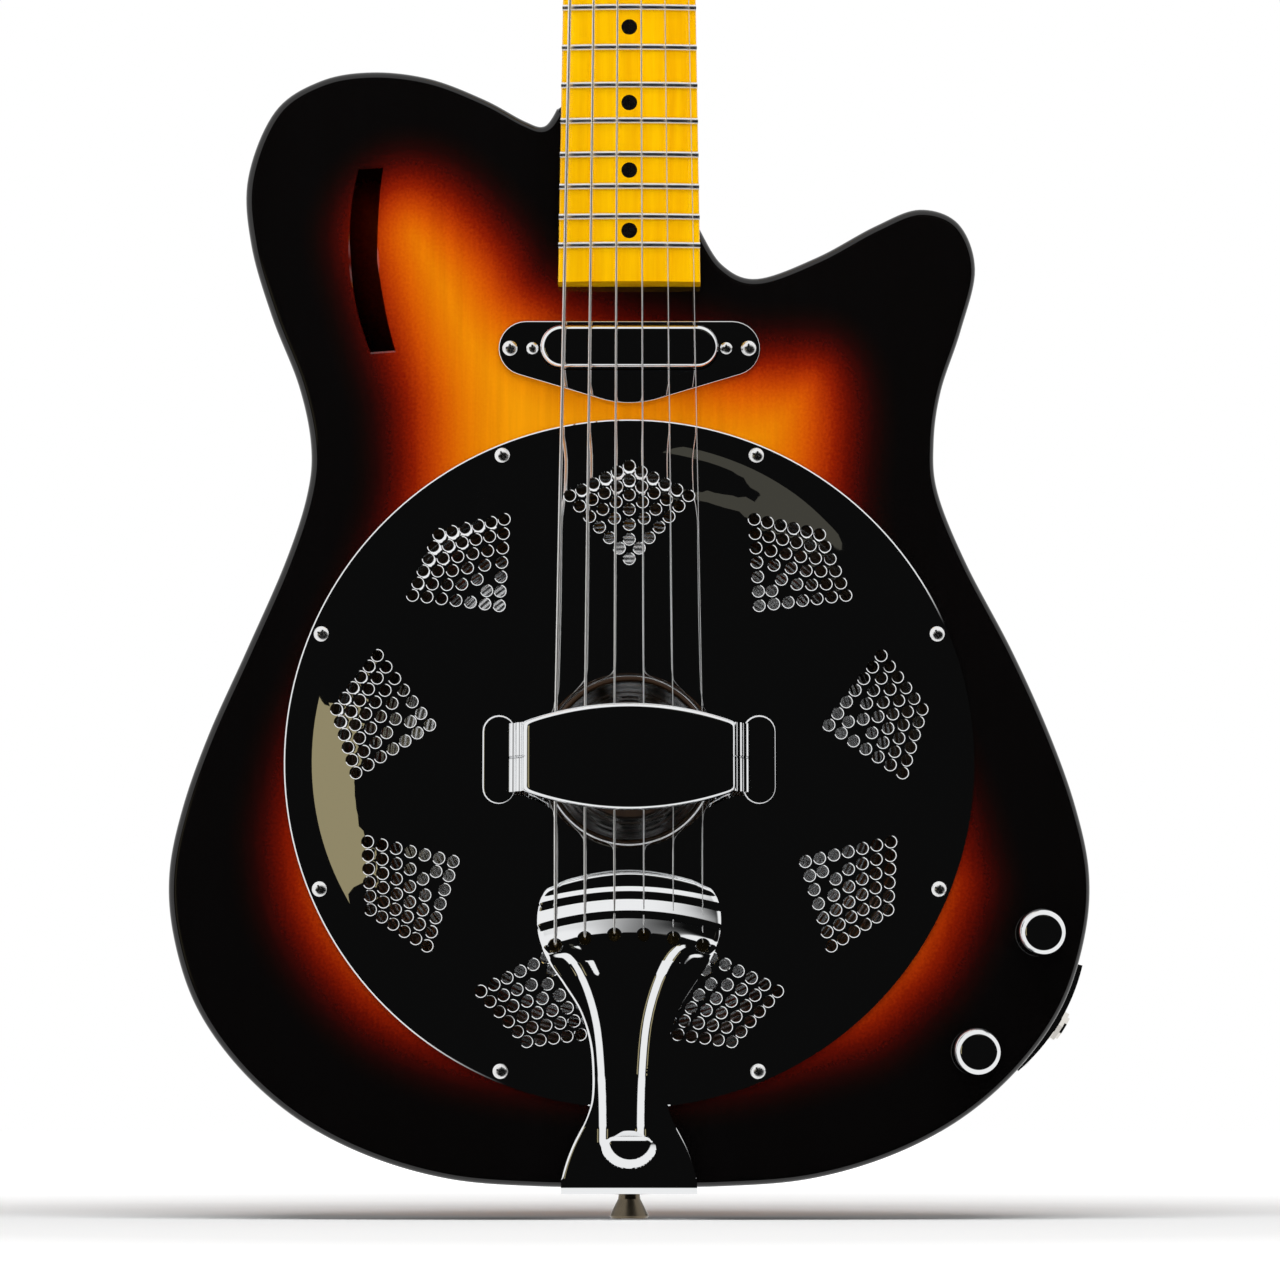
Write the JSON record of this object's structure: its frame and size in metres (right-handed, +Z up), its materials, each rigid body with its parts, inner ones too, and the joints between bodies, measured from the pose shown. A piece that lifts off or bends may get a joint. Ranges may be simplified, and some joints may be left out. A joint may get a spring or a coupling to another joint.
{
  "type": "resonator guitar",
  "caption": "Thin-bodied electric resonator guitar with a single cutaway, bolt-on maple neck, biscuit cone under a perforated coverplate, hand rest, folded tailpiece and two knobs.",
  "frame": {"origin": "neck's centre line at the nut, level with the body's front face, where a hanger's yoke holds the guitar under the headstock", "axes": "+Z up the neck to the headstock, +X to the treble side, -Y out of the front"},
  "size_m": [0.3624, 0.099, 1.0199],
  "materials": {
    "sunburst_lacquer": "clear gloss over a three-colour sunburst",
    "black_lacquer": "high gloss",
    "tinted_maple": "amber-tinted gloss",
    "inner_wood": "raw sanded",
    "maple": "raw sanded",
    "chrome": "polished",
    "nickel": "plated",
    "screw_steel": "nickel plated",
    "spun_aluminium": "spun",
    "wound_nickel": "round wound",
    "plain_steel": "polished",
    "fret_wire": "polished",
    "brass": "bare",
    "aged_bronze": "dark nickel plated",
    "bobbin": "matte",
    "magnet": "ground",
    "rubber": "matte",
    "wire_jacket": "matte",
    "black_inlay": "gloss",
    "bone": "polished"
  },
  "bodies": {
    "root": {"body_top": "sunburst_lacquer", "body_rim": "black_lacquer", "body_back": "black_lacquer", "neck_block": "inner_wood", "tail_block": "inner_wood", "sound_well": "inner_wood", "linings": "inner_wood", "output_jack": "nickel", "jack_plate": "chrome", "jack_plate_screws": "screw_steel", "strap_buttons": "aged_bronze", "strap_button_screws": "screw_steel", "coverplate": "chrome", "coverplate_screws": "screw_steel", "hand_rest": "chrome", "resonator_cone": "spun_aluminium", "biscuit": "maple", "saddle": "maple", "biscuit_screw": "screw_steel", "tailpiece": "chrome", "tailpiece_screws": "screw_steel", "wound_strings": "wound_nickel", "plain_strings": "plain_steel", "ball_ends": "brass", "pickup_plate": "chrome", "pickup_plate_screws": "screw_steel", "pickup_height_screws": "screw_steel", "pickup_tubes": "rubber", "potentiometers": "nickel", "control_nuts": "nickel", "wiring_harness": "wire_jacket", "neck": "tinted_maple", "frets": "fret_wire", "position_dots": "black_inlay", "nut": "bone", "truss_rod": "screw_steel", "neck_plate": "chrome", "neck_screws": "screw_steel", "tuner_housings": "chrome", "tuner_bushings": "chrome", "tuner_screws": "screw_steel"},
    "volume_control": {"volume_knob": "chrome"},
    "tone_control": {"tone_knob": "chrome"},
    "pickup": {"pickup_cover": "chrome", "pickup_coil": "bobbin", "pickup_magnets": "magnet"},
    "rod_adjuster": {"truss_rod_nut": "brass"},
    "tuner_button_1": {"tuner_knob_1": "chrome"},
    "string_post_1": {"tuner_post_1": "chrome"},
    "tuner_button_2": {"tuner_knob_2": "chrome"},
    "string_post_2": {"tuner_post_2": "chrome"},
    "tuner_button_3": {"tuner_knob_3": "chrome"},
    "string_post_3": {"tuner_post_3": "chrome"},
    "tuner_button_4": {"tuner_knob_4": "chrome"},
    "string_post_4": {"tuner_post_4": "chrome"},
    "tuner_button_5": {"tuner_knob_5": "chrome"},
    "string_post_5": {"tuner_post_5": "chrome"},
    "tuner_button_6": {"tuner_knob_6": "chrome"},
    "string_post_6": {"tuner_post_6": "chrome"}
  },
  "joints": [
    {"name": "volume_turn", "type": "hinge", "parent": "root", "child": "volume_control", "pos_m": [0.1608, 0, -0.7271], "axis": [0, -1, 0], "range_deg": [-140, 140]},
    {"name": "tone_turn", "type": "hinge", "parent": "root", "child": "tone_control", "pos_m": [0.1352, 0, -0.7734], "axis": [0, -1, 0], "range_deg": [-140, 140]},
    {"name": "pickup_height", "type": "slide", "parent": "root", "child": "pickup", "axis": [0, -1, 0], "range_m": [-0.002, 0.0015], "deforming": ["pickup_tubes"]},
    {"name": "truss_rod_adjust", "type": "hinge", "parent": "root", "child": "rod_adjuster", "pos_m": [0, -0.003, 0.01], "axis": [0, 0, 1], "range_deg": [-180, 180]},
    {"name": "tuner_knob_1_spin", "type": "hinge", "parent": "root", "child": "tuner_button_1", "pos_m": [-0.021, 0.01899, 0.0365], "axis": [-1, 0, 0], "continuous": true},
    {"name": "tuner_post_1_spin", "type": "hinge", "parent": "root", "child": "string_post_1", "pos_m": [-0.021, 0.00056, 0.0484], "axis": [0, -0.9781, 0.2079], "continuous": true},
    {"name": "tuner_knob_2_spin", "type": "hinge", "parent": "root", "child": "tuner_button_2", "pos_m": [-0.0215, 0.02752, 0.07661], "axis": [-1, 0, 0], "continuous": true},
    {"name": "tuner_post_2_spin", "type": "hinge", "parent": "root", "child": "string_post_2", "pos_m": [-0.0215, 0.00909, 0.0885], "axis": [0, -0.9781, 0.2079], "continuous": true},
    {"name": "tuner_knob_3_spin", "type": "hinge", "parent": "root", "child": "tuner_button_3", "pos_m": [-0.022, 0.03604, 0.11671], "axis": [-1, 0, 0], "continuous": true},
    {"name": "tuner_post_3_spin", "type": "hinge", "parent": "root", "child": "string_post_3", "pos_m": [-0.022, 0.01761, 0.1286], "axis": [0, -0.9781, 0.2079], "continuous": true},
    {"name": "tuner_knob_4_spin", "type": "hinge", "parent": "root", "child": "tuner_button_4", "pos_m": [0.022, 0.03929, 0.13197], "axis": [1, 0, 0], "continuous": true},
    {"name": "tuner_post_4_spin", "type": "hinge", "parent": "root", "child": "string_post_4", "pos_m": [0.022, 0.01761, 0.1286], "axis": [0, -0.9781, 0.2079], "continuous": true},
    {"name": "tuner_knob_5_spin", "type": "hinge", "parent": "root", "child": "tuner_button_5", "pos_m": [0.0215, 0.03076, 0.09187], "axis": [1, 0, 0], "continuous": true},
    {"name": "tuner_post_5_spin", "type": "hinge", "parent": "root", "child": "string_post_5", "pos_m": [0.0215, 0.00909, 0.0885], "axis": [0, -0.9781, 0.2079], "continuous": true},
    {"name": "tuner_knob_6_spin", "type": "hinge", "parent": "root", "child": "tuner_button_6", "pos_m": [0.021, 0.02224, 0.05176], "axis": [1, 0, 0], "continuous": true},
    {"name": "tuner_post_6_spin", "type": "hinge", "parent": "root", "child": "string_post_6", "pos_m": [0.021, 0.00056, 0.0484], "axis": [0, -0.9781, 0.2079], "continuous": true}
  ],
  "couplings": [
    {"joint": "tuner_post_1_spin", "follows": "tuner_knob_1_spin", "ratio": 0.066667},
    {"joint": "tuner_post_2_spin", "follows": "tuner_knob_2_spin", "ratio": 0.066667},
    {"joint": "tuner_post_3_spin", "follows": "tuner_knob_3_spin", "ratio": 0.066667},
    {"joint": "tuner_post_4_spin", "follows": "tuner_knob_4_spin", "ratio": 0.066667},
    {"joint": "tuner_post_5_spin", "follows": "tuner_knob_5_spin", "ratio": 0.066667},
    {"joint": "tuner_post_6_spin", "follows": "tuner_knob_6_spin", "ratio": 0.066667}
  ]
}
